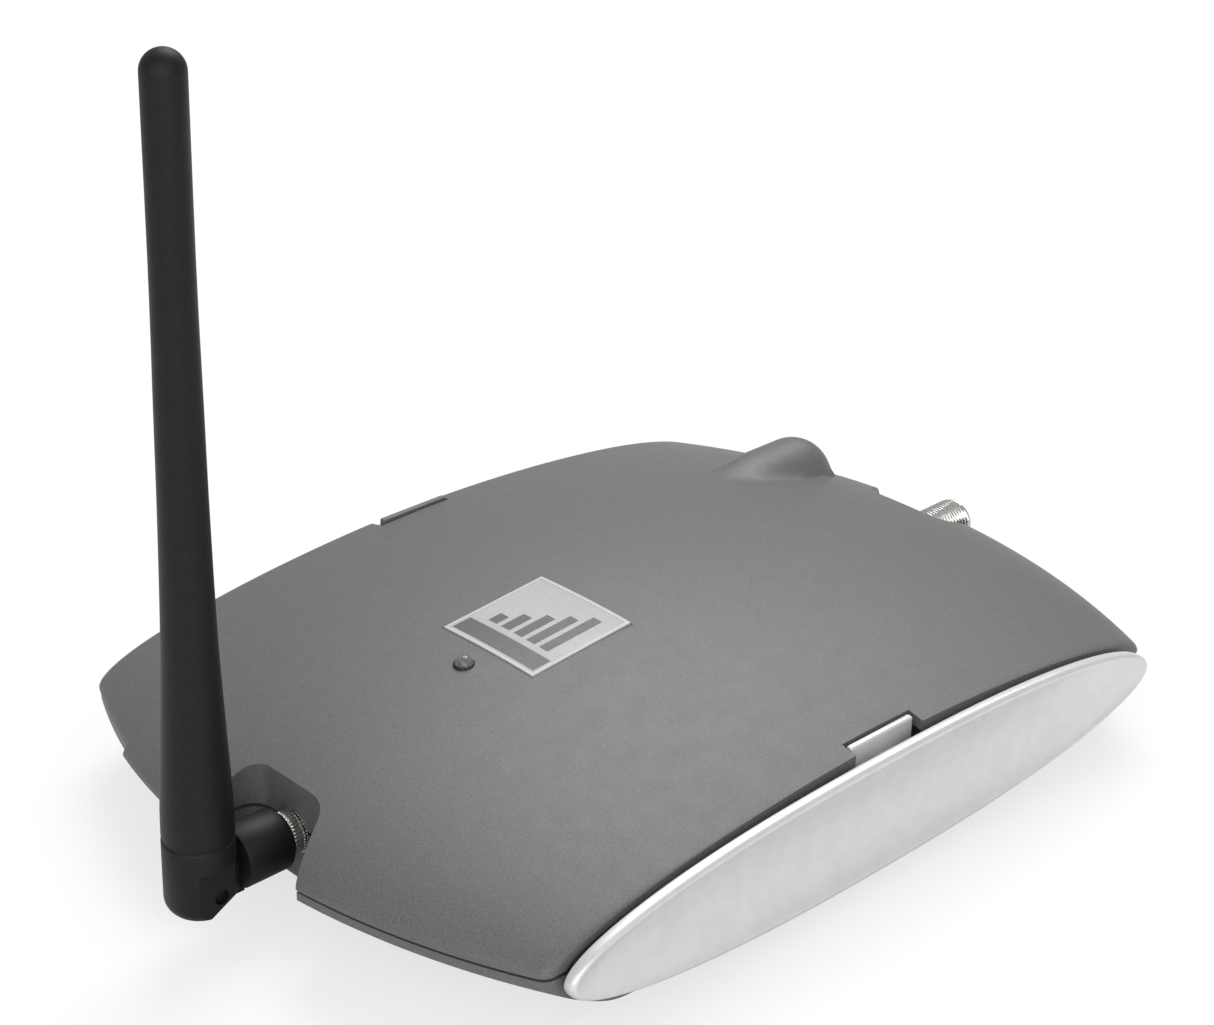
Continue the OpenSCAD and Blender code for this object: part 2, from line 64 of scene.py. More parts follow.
# %% Sizes in millimetres
top_low, top_high = (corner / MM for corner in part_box("top_shell"))
board_low, board_high = (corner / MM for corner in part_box("circuit_board"))
seam = top_low.z
half_x = top_high.x
half_y = board_high.y + 18.5
crown = top_high.z - seam + 0.02
crown_fall = 7.4
edge_bow = 14.5
crown_power = 1.8
belly = seam - 1
belly_rise = 3.5
belly_r = 48
belly_in = 33.6
belly_up = belly_r - belly - 0.7
wall = 2.2
groove = 0.7
end_wall_x = half_x - 4
corner_r = 3.2
plan_r = (half_x ** 2 + edge_bow ** 2) / (2 * edge_bow)
notch_back = half_y - 12.8
port_z = -1.3
print("case half size:", round(half_x, 2), round(half_y, 2), "crown:", round(crown, 2))

# %% [markdown]
# ## Helpers
# Almost every surface here is a grid whose points are placed by a rule, so one helper makes a grid
# with an operator, moves its points and welds the rows that meet. A second one closes an open
# surface into a solid by extruding its rim, and a third cuts one solid with another. The Manifold
# solver is used for the cuts because it is quick and always gives a closed mesh.

# %% A surface from a rule
def skin(across, along, place):
    """A grid of across by along faces, with place(u, v) giving each point in millimetres."""
    bm = bmesh.new()
    bmesh.ops.create_grid(bm, x_segments=across, y_segments=along, size=0.5)
    for vert in bm.verts:
        vert.co = Vector(place(vert.co.x + 0.5, vert.co.y + 0.5)) * MM
    bmesh.ops.remove_doubles(bm, verts=bm.verts, dist=2e-7)
    return bm


def close_down(bm, level):
    """Extrudes the open rim straight down or up to a level above the seam, and fills it."""
    rim = [edge for edge in bm.edges if edge.is_boundary]
    made = bmesh.ops.extrude_edge_only(bm, edges=rim)
    for item in made["geom"]:
        if isinstance(item, bmesh.types.BMVert):
            item.co.z = (seam + level) * MM
    bmesh.ops.holes_fill(bm, edges=[edge for edge in bm.edges if edge.is_boundary])
    bmesh.ops.recalc_face_normals(bm, faces=bm.faces)
    return bm


# %% Objects, cuts and shading
def solid(name, bm):
    """A mesh object from a bmesh, with its faces pointing outwards."""
    bmesh.ops.recalc_face_normals(bm, faces=bm.faces)
    mesh = bpy.data.meshes.new(name)
    bm.to_mesh(mesh)
    bm.free()
    obj = bpy.data.objects.new(name, mesh)
    bpy.context.scene.collection.objects.link(obj)
    return obj


def combine(target, tools, operation):
    """Cuts, joins or trims target with each tool, and takes the tools away."""
    for tool in tools:
        cut = target.modifiers.new("cut", "BOOLEAN")
        cut.operation = operation
        cut.solver = "MANIFOLD"
        cut.object = tool
        graph = bpy.context.evaluated_depsgraph_get()
        made = bpy.data.meshes.new_from_object(target.evaluated_get(graph))
        target.modifiers.clear()
        old = target.data
        target.data = made
        bpy.data.meshes.remove(old)
        bpy.data.objects.remove(tool)
    return target


def finish_piece(obj, body, material, nodes=(), angle=32):
    """Shades a piece smooth with crisp corners, gives it its body and finish, and hides the CAD nodes it
    replaces.
    """
    mesh = obj.data
    mesh.polygons.foreach_set("use_smooth", [True] * len(mesh.polygons))
    mesh.set_sharp_from_angle(angle=math.radians(angle))
    mesh.materials.clear()
    mesh.materials.append(material)
    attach(obj, body)
    if nodes:
        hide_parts(*nodes)
    print(obj.name, "has", len(mesh.polygons), "faces")
    return obj


# %% Simple cutting and filling shapes
def block(low, high):
    """A box between two corners, in millimetres above the seam."""
    bm = bmesh.new()
    bmesh.ops.create_cube(bm, size=1)
    size = Vector(high) - Vector(low)
    middle = (Vector(high) + Vector(low)) / 2 + Vector((0, 0, seam))
    bmesh.ops.scale(bm, vec=size * MM, verts=bm.verts)
    bmesh.ops.translate(bm, vec=middle * MM, verts=bm.verts)
    return bm


def drum(radius, start, end, axis="Y", centre=(0, 0), sides=64, tip=None):
    """A cylinder or cone along an axis, from start to end; centre is its place across the axis."""
    bm = bmesh.new()
    bmesh.ops.create_cone(bm, cap_ends=True, segments=sides, radius1=radius * MM,
                          radius2=(radius if tip is None else tip) * MM, depth=(end - start) * MM)
    turn = {"X": Matrix.Rotation(math.radians(90), 4, "Y"), "Z": Matrix.Identity(4),
            "Y": Matrix.Rotation(math.radians(-90), 4, "X")}[axis]
    bmesh.ops.transform(bm, matrix=turn, verts=bm.verts)
    middle = (start + end) / 2
    a, b = centre
    place = {"X": (middle, a, b), "Y": (a, middle, b), "Z": (a, b, middle)}[axis]
    bmesh.ops.translate(bm, vec=(Vector(place) + Vector((0, 0, seam))) * MM, verts=bm.verts)
    return bm


def lathe(profile, centre, axis="Z", steps=96):
    """Spins a profile of (radius, height) points about an axis through centre."""
    bm = bmesh.new()
    points = [bm.verts.new(Vector((r, 0, h)) * MM) for r, h in profile]
    edges = [bm.edges.new(pair) for pair in zip(points, points[1:])]
    bmesh.ops.spin(bm, geom=points + edges, cent=(0, 0, 0), axis=(0, 0, 1), angle=2 * math.pi,
                   steps=steps, use_merge=True, use_duplicate=False)
    bmesh.ops.remove_doubles(bm, verts=bm.verts, dist=2e-7)
    if axis == "Y":
        bmesh.ops.rotate(bm, matrix=Matrix.Rotation(math.radians(-90), 3, "X"), verts=bm.verts)
    bmesh.ops.translate(bm, vec=(Vector(centre) + Vector((0, 0, seam))) * MM, verts=bm.verts)
    bmesh.ops.recalc_face_normals(bm, faces=bm.faces)
    return bm


def prism(outline, low, high):
    """Extrudes a flat outline of (x, y) points between two heights above the seam."""
    bm = bmesh.new()
    rim = [bm.verts.new(Vector((x, y, seam + low)) * MM) for x, y in outline]
    face = bm.faces.new(rim)
    raised = bmesh.ops.extrude_face_region(bm, geom=[face])
    moved = [item for item in raised["geom"] if isinstance(item, bmesh.types.BMVert)]
    bmesh.ops.translate(bm, vec=(0, 0, (high - low) * MM), verts=moved)
    return bm


def absorb(bm, part):
    """Adds one bmesh to another."""
    mesh = bpy.data.meshes.new("part")
    part.to_mesh(mesh)
    part.free()
    bm.from_mesh(mesh)
    bpy.data.meshes.remove(mesh)


def arc(cx, cy, radius, start, end, steps=10):
    """Points along a circle between two angles in degrees."""
    angles = [math.radians(start + (end - start) * i / steps) for i in range(steps + 1)]
    return [(cx + radius * math.cos(a), cy + radius * math.sin(a)) for a in angles]


# %% [markdown]
# ## Materials
# Each finish is one node tree on Object coordinates, so the grain has a real size and stays put
# when a part moves. The case is grey plastic with a fine metallic sparkle in the moulding. The
# silver parts are painted with a soft mottled lustre. The antenna is a smooth dark rubbery plastic.

# %% A finish from noise
def finish(name, dark, light, rough, grain, metal=0.0, spread=0.05, relief=0.0, stretch=(1, 1, 1),
           low=0.4, high=0.6, gloss=0.5):
    """A procedural finish: two tones mixed by grain, roughness that varies, and a fine relief."""
    material = bpy.data.materials.new(name)
    material.use_nodes = True
    nodes, links = material.node_tree.nodes, material.node_tree.links
    shader = nodes["Principled BSDF"]
    shader.inputs["Metallic"].default_value = metal
    shader.inputs["Specular IOR Level"].default_value = gloss
    place = nodes.new("ShaderNodeTexCoord")
    scale = nodes.new("ShaderNodeMapping")
    scale.inputs["Scale"].default_value = stretch
    links.new(place.outputs["Object"], scale.inputs["Vector"])
    noise = nodes.new("ShaderNodeTexNoise")
    noise.inputs["Scale"].default_value = 1 / (grain * MM)
    noise.inputs["Detail"].default_value = 3
    links.new(scale.outputs["Vector"], noise.inputs["Vector"])
    tones = nodes.new("ShaderNodeValToRGB")
    tones.color_ramp.elements[0].position = low
    tones.color_ramp.elements[0].color = (*dark, 1)
    tones.color_ramp.elements[1].position = high
    tones.color_ramp.elements[1].color = (*light, 1)
    links.new(noise.outputs["Fac"], tones.inputs["Fac"])
    links.new(tones.outputs["Color"], shader.inputs["Base Color"])
    cloud = nodes.new("ShaderNodeTexNoise")
    cloud.inputs["Scale"].default_value = 1 / (12 * grain * MM)
    links.new(scale.outputs["Vector"], cloud.inputs["Vector"])
    vary = nodes.new("ShaderNodeMapRange")
    vary.inputs["To Min"].default_value = rough - spread
    vary.inputs["To Max"].default_value = rough + spread
    links.new(cloud.outputs["Fac"], vary.inputs["Value"])
    links.new(vary.outputs["Result"], shader.inputs["Roughness"])
    if relief:
        bump = nodes.new("ShaderNodeBump")
        bump.inputs["Distance"].default_value = relief * MM
        links.new(noise.outputs["Fac"], bump.inputs["Height"])
        links.new(bump.outputs["Normal"], shader.inputs["Normal"])
    return material


def grey(level):
    """A neutral colour."""
    return (level, level, level)


looks = {
    "case_grey": finish("case_grey", grey(0.075), grey(0.118), 0.5, 0.35, relief=0.02, low=0.3, high=0.75),
    "satin_silver": finish("satin_silver", grey(0.585), grey(0.61), 0.36, 3.5, metal=0.45, spread=0.015),
    "badge_foil": finish("badge_foil", grey(0.36), grey(0.4), 0.5, 0.4, metal=0.1, relief=0.002, gloss=0.3),
    "lamp_amber": finish("lamp_amber", (0.5, 0.5, 0.2), (0.6, 0.6, 0.3), 0.3, 0.4),
    "board_green": finish("board_green", (0.01, 0.09, 0.03), (0.02, 0.14, 0.05), 0.3, 1.2, relief=0.02),
    "chip_black": finish("chip_black", grey(0.012), grey(0.025), 0.5, 0.3, relief=0.01),
    "can_tin": finish("can_tin", grey(0.5), grey(0.62), 0.32, 0.8, metal=1.0, stretch=(1, 12, 1)),
    "filter_ceramic": finish("filter_ceramic", (0.55, 0.5, 0.42), (0.66, 0.62, 0.52), 0.45, 0.5),
    "pad_pink": finish("pad_pink", (0.5, 0.25, 0.3), (0.58, 0.32, 0.36), 0.7, 0.6, relief=0.02),
    "spreader_aluminium": finish("spreader_aluminium", grey(0.6), grey(0.7), 0.35, 0.6, metal=1.0,
                                 stretch=(1, 20, 1)),
    "contact_gold": finish("contact_gold", (0.7, 0.45, 0.14), (0.8, 0.56, 0.2), 0.25, 0.3, metal=1.0),
    "insulator_white": finish("insulator_white", grey(0.7), grey(0.78), 0.5, 0.5),
    "nickel_steel": finish("nickel_steel", (0.5, 0.49, 0.47), (0.66, 0.65, 0.62), 0.22, 0.5, metal=1.0,
                           relief=0.004),
    "foot_rubber": finish("foot_rubber", grey(0.012), grey(0.022), 0.75, 0.3, relief=0.02),
    "label_white": finish("label_white", grey(0.6), grey(0.66), 0.5, 0.5),
    "antenna_black": finish("antenna_black", grey(0.0045), grey(0.007), 0.5, 0.5, relief=0.006, gloss=0.22),
    "radiator_brass": finish("radiator_brass", (0.55, 0.38, 0.14), (0.65, 0.48, 0.2), 0.3, 0.4, metal=1.0),
    "print_dark": finish("print_dark", grey(0.045), grey(0.065), 0.4, 0.5),
    "badge_rim": finish("badge_rim", grey(0.42), grey(0.46), 0.5, 0.5, metal=0.1, gloss=0.3),
}

# %% [markdown]
# Clear plastic is its own finish: it passes light, and a very slight cloudiness in the moulding
# keeps it from looking like empty space.

# %% Clear lamp plastic
clear = finish("lamp_clear", grey(0.9), grey(0.94), 0.05, 2.5, spread=0.02)
clear.node_tree.nodes["Principled BSDF"].inputs["Transmission Weight"].default_value = 0.9
clear.node_tree.nodes["Principled BSDF"].inputs["IOR"].default_value = 1.46
looks["lamp_clear"] = clear
print(len(looks), "finishes")

# %% [markdown]
# ## The CAD pieces that stay
# The inner pieces keep their CAD shapes. Each takes the finish of its own material slot.

# %% Finishes on the CAD nodes
for part in frame["record"]["subparts"]:
    mesh = frame["nodes"][part["node"]].data
    mesh.materials.clear()
    mesh.materials.append(looks[part["material_slot"]])

# %% [markdown]
# ## The shape of the case
# Seen from above, the long edges are arcs and the corners are small rounds. Across the case the top
# is a flattened oval, and along X its height falls away towards the ends. A round cable hood pushes
# up through it at the coax edge, blended in with a smooth maximum, the way a clay fillet joins two
# forms. At the antenna edge a low, wide hood only steps the shoulder outwards.

# %% Plan, crown and hoods
corner_x = half_x - corner_r
corner_y = math.sqrt((plan_r - corner_r) ** 2 - corner_x ** 2) - (plan_r - half_y)
corner_from = corner_x + corner_r * corner_x / (plan_r - corner_r)
hood_x = -27
hood_r = 8.5
hood_z = 6.3
hood_end = half_y - 8.8
hood_start = 30
hood_dome = 8.2
hood_level = 66
hood_dip = 0.014
hood_blend = 2.2
near_hood = (hood_x - 11, hood_x + 10)
near_hood_out = 1.6
near_hood_ramp = 0.8
step_from = 0.82


def half_length(x, inset=0.0):
    """Half the length of the case at a distance x from its middle."""
    x = min(abs(x), half_x)
    if x <= corner_from:
        return math.sqrt((plan_r - inset) ** 2 - x * x) - (plan_r - half_y)
    return corner_y + math.sqrt(max(corner_r ** 2 - (x - corner_x) ** 2, 0)) - inset


def shoulder_step(x):
    """How far the low cable hood at the antenna edge stands out past the bow."""
    rise = min(max((x - near_hood[0] + near_hood_ramp / 2) / near_hood_ramp, 0), 1)
    fall = min(max((near_hood[1] + near_hood_ramp / 2 - x) / near_hood_ramp, 0), 1)
    return near_hood_out * min(rise, fall)


def smooth_max(a, b, blend):
    """The larger of two heights, with a fillet where they meet."""
    return max(a, b) + max(blend - abs(a - b), 0) ** 2 / (4 * blend)


def hood_height(x, y, inset):
    """Height of the round-ended far hood above the seam, falling steeply outside it."""
    radius = hood_r - inset
    if y < hood_start:
        return -20
    past = max(y - hood_end + hood_dome, 0) * radius / (hood_dome - inset / 2)
    reach = math.hypot(x - hood_x, past)
    level = hood_z - hood_dip * max(hood_level - y, 0) ** 2
    if reach < radius:
        return level + math.sqrt(radius ** 2 - reach ** 2)
    return level - 3 * (reach - radius)


def crown_height(x, y, inset=0.0):
    """Height of the top surface above the seam."""
    share = min(abs(y) / half_length(x, inset), 1)
    ridge = crown - inset - crown_fall * (x / half_x) ** 2
    height = ridge * (1 - share ** crown_power) ** (1 / crown_power)
    return smooth_max(height, hood_height(x, y, inset), hood_blend)


def across_case(u):
    """x for u from 0 to 1 across the case, with closer steps near the ends."""
    crowd = math.radians(77)
    return half_x * math.sin((2 * u - 1) * crowd) / math.sin(crowd)


def crown_place(inset):
    """The rule for the top surface: even steps round the oval, closer steps near the ends."""
    def place(u, v):
        x = across_case(u)
        turn = (2 * v - 1) * math.pi / 2
        share = math.copysign(abs(math.sin(turn)) ** (2 / crown_power), turn)
        y = half_length(x, inset) * share
        height = crown_height(x, y, inset)
        if share < -step_from:
            y -= shoulder_step(x) * (-share - step_from) / (1 - step_from)
        return (x, y, seam + height)
    return place


print("crown at the badge:", round(crown_height(0, -23), 2))

# %% [markdown]
# The recess round each connector has one square side and one flared side. Its outline is two small
# rounds joined by straight walls. Grown by the wall, the same outline gives the outside of the wall.

# %% Recess outline
flare = 30
notch_left = 10.4
notch_right = 9.1
left_round = 4
right_round = 6


def notch_outline(grow, turn):
    """Outline of a connector recess; turn is 1 at the antenna edge and -1 at the coax edge."""
    lean = math.radians(flare)
    right_x = notch_right - right_round * (1 - math.sin(lean)) / math.cos(lean)
    out_x = right_x + (right_round + grow) * math.cos(lean) + 30 * math.sin(lean)
    out_y = -notch_back - right_round + (right_round + grow) * math.sin(lean) - 30 * math.cos(lean)
    points = [(-notch_left - grow, out_y)]
    points += arc(left_round - notch_left, -notch_back - left_round, left_round + grow, 180, 90)
    points += arc(right_x, -notch_back - right_round, right_round + grow, 90, flare)
    points += [(out_x, out_y)]
    return [(turn * x, turn * y) for x, y in points]


def both_notches(grow):
    """The two recesses as tall cutting solids."""
    return [solid("recess", prism(notch_outline(grow, turn), -40, 40)) for turn in (1, -1)]


# %% Shared cuts
post_x = 51.1
post_y = 26


def connector_holes():
    """Holes for the antenna jack, the coax port and the power inlet."""
    inlet_z = board_high.z - seam + 6.5
    return [
        solid("hole", drum(3.275, -notch_back - 1, -notch_back + wall + 1, centre=(0, port_z))),
        solid("hole", drum(4.85, notch_back - wall - 1, notch_back + 1, centre=(0, port_z))),
        solid("hole", drum(4.2, half_y - 15, half_y, centre=(hood_x, inlet_z))),
        solid("hole", drum(5.0, half_y - 12, half_y + 5, centre=(hood_x, inlet_z))),
    ]


def beyond(side, start):
    """Everything past an end wall."""
    low, high = sorted((side * start, side * 99))
    return block((low, -150, -60), (high, 150, 60))


def case_posts(radius, low, high):
    """The four screw posts of the case."""
    return [solid("post", drum(radius, low, high, axis="Z", centre=(sx * post_x, sy * post_y), sides=32))
            for sx in (-1, 1) for sy in (-1, 1)]


def hollow_out(shell, hollow, posts):
    """Empties a shell, but keeps its end walls, the walls round the recesses and the posts."""
    skirts = []
    for side in (-1, 1):
        skirt = hollow.copy()
        skirt.data = hollow.data.copy()
        bpy.context.scene.collection.objects.link(skirt)
        skirts.append(combine(skirt, [solid("end", beyond(side, end_wall_x))], "INTERSECT"))
    for side in (-1, 1):
        combine(hollow, [solid("end", beyond(side, end_wall_x - wall))], "DIFFERENCE")
    combine(hollow, both_notches(wall), "DIFFERENCE")
    combine(hollow, posts, "DIFFERENCE")
    combine(shell, [hollow, *skirts], "DIFFERENCE")


# %% [markdown]
# ## Top shell
# The outer surface is closed into a solid, hollowed with the same rule inset by the wall, and cut
# for the recesses, the latch tabs, the badge, the lamp and the ports. The wall stays round each
# recess because the hollow is cut back by the grown outline first.

# %% Build the top shell
top_hollow = solid("hollow", close_down(skin(90, 120, crown_place(wall)), -3))
top_shell = solid("case_top", close_down(skin(170, 210, crown_place(0)), -2))
hollow_out(top_shell, top_hollow, case_posts(3.6, -5, 40))
combine(top_shell, both_notches(0), "DIFFERENCE")
combine(top_shell, connector_holes(), "DIFFERENCE")
combine(top_shell, [solid("below", block((-99, -150, -30), (99, 150, 0)))], "DIFFERENCE")

# %% Cut the slots, the badge seat and the lamp hole
tab_w = 16.2
tab_offset = 2.5
for side in (-1, 1):
    slot_y = sorted((side * (tab_offset - tab_w / 2 - 0.4), side * (tab_offset + tab_w / 2 + 0.9)))
    slot_x = sorted((side * (end_wall_x + 0.7), side * 80))
    slot = block((slot_x[0], slot_y[0], 0), (slot_x[1], slot_y[1], 40))
    combine(top_shell, [solid("slot", slot)], "DIFFERENCE")
badge_side = 24
badge_y = 23
lamp_y = 40.4
cross_r = 300
badge_z = math.sqrt(cross_r ** 2 - badge_y ** 2) - cross_r + crown
badge_turn = (Matrix.Translation(Vector((0, -badge_y, seam + badge_z)) * MM)
              @ Matrix.Rotation(math.asin(badge_y / cross_r), 4, "X"))


def on_badge(low, high):
    """A box in the badge's own tilted frame, in millimetres."""
    bm = block(low, high)
    bmesh.ops.translate(bm, vec=(0, 0, -seam * MM), verts=bm.verts)
    return bm


seat = on_badge((-12.2, -12.2, -0.8), (12.2, 12.2, 5))
bmesh.ops.transform(seat, matrix=badge_turn, verts=seat.verts)
combine(top_shell, [solid("seat", seat)], "DIFFERENCE")
combine(top_shell, [solid("hole", drum(1.75, 0, 40, axis="Z", centre=(0, -lamp_y)))], "DIFFERENCE")
finish_piece(top_shell, "case", looks["case_grey"], ["top_shell"])

# %% [markdown]
# ## Bottom shell
# The belly is nearly flat and turns up in a wide arc to a small upright lip under the seam. A
# tongue behind the lip fills the shadow groove, so no light shows through the joint.

# %% Build the bottom shell
def belly_depth(x, y, inset):
    """Depth of the bottom surface below the seam."""
    inward = plan_r - math.hypot(x, abs(y) + plan_r - half_y)
    across = min(max(belly_in - inward, 0), belly_r - inset - 0.01)
    flank = math.sqrt((belly_r - inset) ** 2 - across ** 2) - belly_up
    floor = belly - inset - belly_rise * (x / half_x) ** 2
    return max(-smooth_max(-flank, -floor, 1.5), groove + 0.3)


def belly_place(inset):
    """The rule for the bottom surface."""
    def place(u, v):
        x = across_case(u)
        y = (half_length(x, inset) - 0.3) * (2 * v - 1)
        return (x, y, seam - belly_depth(x, y, inset))
    return place


bottom_hollow = solid("hollow", close_down(skin(70, 100, belly_place(wall)), 3))
bottom_shell = solid("case_bottom", close_down(skin(140, 160, belly_place(0)), -groove))
hollow_out(bottom_shell, bottom_hollow, case_posts(4.2, -40, 0))


def plan_outline(inset, limit):
    """The case seen from above, between two values of x."""
    steps = 48
    xs = [limit * (2 * i / steps - 1) for i in range(steps + 1)]
    edge = [(x, half_length(x) - inset) for x in xs]
    return edge + [(x, -y) for x, y in reversed(edge)]


tongue = solid("tongue", prism(plan_outline(1.1, end_wall_x - 0.05), -2, -0.02))
combine(tongue, [solid("inside", prism(plan_outline(2.1, end_wall_x - 2), -5, 5))], "DIFFERENCE")
combine(bottom_shell, [tongue], "UNION")
combine(bottom_shell, both_notches(0), "DIFFERENCE")
combine(bottom_shell, connector_holes(), "DIFFERENCE")
combine(bottom_shell, case_posts(1.6, -40, 1), "DIFFERENCE")
combine(bottom_shell, case_posts(3.0, -40, 5.2 - belly), "DIFFERENCE")
foot_spots = [(sx * (half_x - 24), sy * (half_y - 36)) for sx in (-1, 1) for sy in (-1, 1)]
foot_top = 2.3 - belly
feet_seats = [solid("seat", drum(5.2, -40, foot_top, axis="Z", centre=spot)) for spot in foot_spots]
combine(bottom_shell, feet_seats, "DIFFERENCE")
label_seat = block((-12.2, -25.2, -belly - 5), (12.2, 25.2, -belly + 0.3))
combine(bottom_shell, [solid("seat", label_seat)], "DIFFERENCE")
finish_piece(bottom_shell, "case", looks["case_grey"], ["bottom_shell"])

# %% [markdown]
# ## Silver end plates
# Each plate is a long pointed oval with a rounded bead round its rim and a shallow dish inside. The
# outline shrinks ring by ring towards the middle while the depth follows the bead and the dish. The
# back plate is a little smaller and stands closer to the case.

# %% Build the end plates
plate_half_y = 75
plate_half_z = 11.6
plate_z = -1.1
front_gap = 1.4
back_gap = 0.6
back_trim = (7, 1.5)
rim_r = 0.95
bead = [(rim_r - rim_r * math.cos(math.radians(a)), 1.25 + rim_r * math.sin(math.radians(a)))
        for a in range(0, 121, 12)]
dish_rings = 16
dish_depth = 1.5


def plate_profile(dished):
    """(inset, share, depth) rings from the back's middle, round the rim, to the front's middle."""
    rings = [(0.4, share, -dished * (1 - share ** 2)) for share in (0, 0.2, 0.4, 0.6, 0.8, 0.92, 1)]
    rings += [(0.1, 1, 0.1), (0.0, 1, 0.4)]
    rings += [(inset, 1, depth) for inset, depth in bead]
    rim_in, floor = bead[-1]
    for i in range(1, dish_rings + 1):
        share = 1 - i / dish_rings
        rings.append((rim_in, share, floor - (dish_depth + dished) * (1 - share ** 2)))
    return rings


def plate_place(side):
    """The rule for one plate: v runs over the rings and u round the outline."""
    gap, trim, dished = (front_gap, (0, 0), 1.1) if side > 0 else (back_gap, back_trim, 0.35)
    rings = plate_profile(dished)

    def place(u, v):
        inset, share, depth = rings[round(v * (len(rings) - 1))]
        a = 2 * math.pi * u
        oval = math.copysign(abs(math.cos(a)) ** (2 / 2.3), math.cos(a))
        y = (plate_half_y - trim[0] - inset) * oval * share
        z = (plate_half_z - trim[1] - inset) * math.sin(a) * share
        return (side * (half_x + gap + depth), y, seam + plate_z + z)
    return place


def end_plate(name, side, node):
    """One silver plate with its two posts into the end wall."""
    bm = skin(256, len(plate_profile(0)) - 1, plate_place(side))
    plate = solid(name, bm)
    for sy in (-1, 1):
        low, high = sorted((side * end_wall_x, side * (half_x + 0.8)))
        post = drum(4, low, high, axis="X", centre=(sy * 35, -5), sides=48)
        combine(plate, [solid("post", post)], "UNION")
    return finish_piece(plate, "case", looks["satin_silver"], [node], angle=50)


end_plate("silver_plate_front", 1, "end_plate_front")
end_plate("silver_plate_back", -1, "end_plate_back")

# %% [markdown]
# ## Latch tabs
# A tab is a small block with soft corners that stands in a slot of the top shell, silver at the
# front and grey at the back. It starts as a cube, and a bevel on its edges gives the roundness.

# %% Build the latch tabs
def rounded(bm, width, segments=4):
    """Rounds every edge of a shape."""
    bmesh.ops.bevel(bm, geom=bm.edges[:] + bm.verts[:], offset=width * MM, offset_type="OFFSET",
                    affect="EDGES", segments=segments, profile=0.5, material=-1, clamp_overlap=True)
    return bm


def latch_tab(name, side, node):
    """One tab, turned half way round at the far end."""
    tab_x = end_wall_x + 1.2
    tab_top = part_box(node)[1].z / MM - seam
    gap = front_gap if side > 0 else back_gap
    slot = "satin_silver" if side > 0 else "case_grey"
    upright = block((tab_x, tab_offset - tab_w / 2, 1), (tab_x + 1.4, tab_offset + tab_w / 2, tab_top))
    tab = solid(name, rounded(upright, 0.45))
    lug = block((end_wall_x + 0.02, tab_offset - 5, 2), (tab_x + 0.5, tab_offset + 5, 6))
    hook = block((tab_x + 1, tab_offset - 6, 3.5), (half_x + gap - 0.02, tab_offset + 6, 5.5))
    combine(tab, [solid("lug", lug), solid("hook", hook)], "UNION")
    if side < 0:
        tab.data.transform(Matrix.Rotation(math.pi, 4, "Z"))
    return finish_piece(tab, "case", looks[slot], [node])


latch_tab("silver_tab_front", 1, "latch_tab_front")
latch_tab("grey_tab_back", -1, "latch_tab_back")

# %% [markdown]
# ## Badge
# The badge is a square of satin foil with a raised light border and a dark band along its lower
# side. Plain bars of growing height stand for signal strength. All of it is drawn in the badge's
# own flat frame, cut into strips that bend with the crown, and then turned onto it.

# %% Build the badge
def badge_piece(name, boxes, look, nodes=(), soften=0.0):
    """Boxes in the badge's frame joined into one piece and laid on the case."""
    bm = bmesh.new()
    for low, high in boxes:
        part = on_badge(low, high)
        if soften:
            rounded(part, soften, 2)
        absorb(bm, part)
    for step in range(-11, 12):
        everything = bm.verts[:] + bm.edges[:] + bm.faces[:]
        bmesh.ops.bisect_plane(bm, geom=everything, dist=1e-7, plane_co=(step * MM, 0, 0),
                               plane_no=(1, 0, 0))
    for vert in bm.verts:
        vert.co.z -= crown_fall * (vert.co.x / MM / half_x) ** 2 * MM
    bmesh.ops.transform(bm, matrix=badge_turn, verts=bm.verts)
    return finish_piece(solid(name, bm), "case", look, nodes)


half = badge_side / 2
rim = 0.75
badge_piece("badge_plate_foil", [((-half, -half, -0.5), (half, half, 0.12))],
            looks["badge_foil"], ["badge_plate"], soften=0.12)
badge_piece("badge_border", [
    ((-half + 0.05, half - rim, 0.1), (half - 0.05, half - 0.05, 0.16)),
    ((-half + 0.05, -half + 0.05, 0.1), (half - 0.05, -half + rim, 0.16)),
    ((-half + 0.05, -half + rim, 0.1), (-half + rim, half - rim, 0.16)),
    ((half - rim, -half + rim, 0.1), (half - 0.05, half - rim, 0.16)),
], looks["badge_rim"])
badge_piece("badge_band", [((-half + 1.2, -half + 1.2, 0.1), (half - 1.2, -half + 5.4, 0.15))],
            looks["print_dark"])
bar_w = 2.2
bar_foot = -5.0
bar_lefts = [-7.6 + 3.4 * i for i in range(5)]
bars = [((left, bar_foot, 0.1), (left + bar_w, bar_foot + 3.0 + 2.6 * i, 0.15))
        for i, left in enumerate(bar_lefts)]
badge_piece("badge_bars", bars, looks["print_dark"])

# %% [markdown]
# ## Lamp
# The lamp is a clear light pipe with a domed head, set in a dark ring. A lathe profile makes both.

# %% Build the lamp
lens_z = crown_height(0, -lamp_y)
lens_profile = [(0, -14), (1.6, -14), (1.6, -3.4), (2.6, -3.4), (2.6, -2.5), (1.6, -2.5), (1.6, 0)]
lens_profile += [(1.72 * math.cos(math.radians(a)), 1.75 * math.sin(math.radians(a)))
                 for a in range(6, 91, 7)]
lens = solid("lamp_head", lathe(lens_profile, (0, -lamp_y, lens_z), steps=48))
finish_piece(lens, "case", looks["lamp_clear"], ["lamp_lens"])
ring_profile = [(1.74, -1.2), (1.74, 0.3), (1.84, 0.36), (1.95, 0.25), (2.0, 0), (2.0, -1.2)]
ring = solid("lamp_ring", lathe(ring_profile + ring_profile[:1], (0, -lamp_y, lens_z), steps=48))
finish_piece(ring, "case", looks["chip_black"])

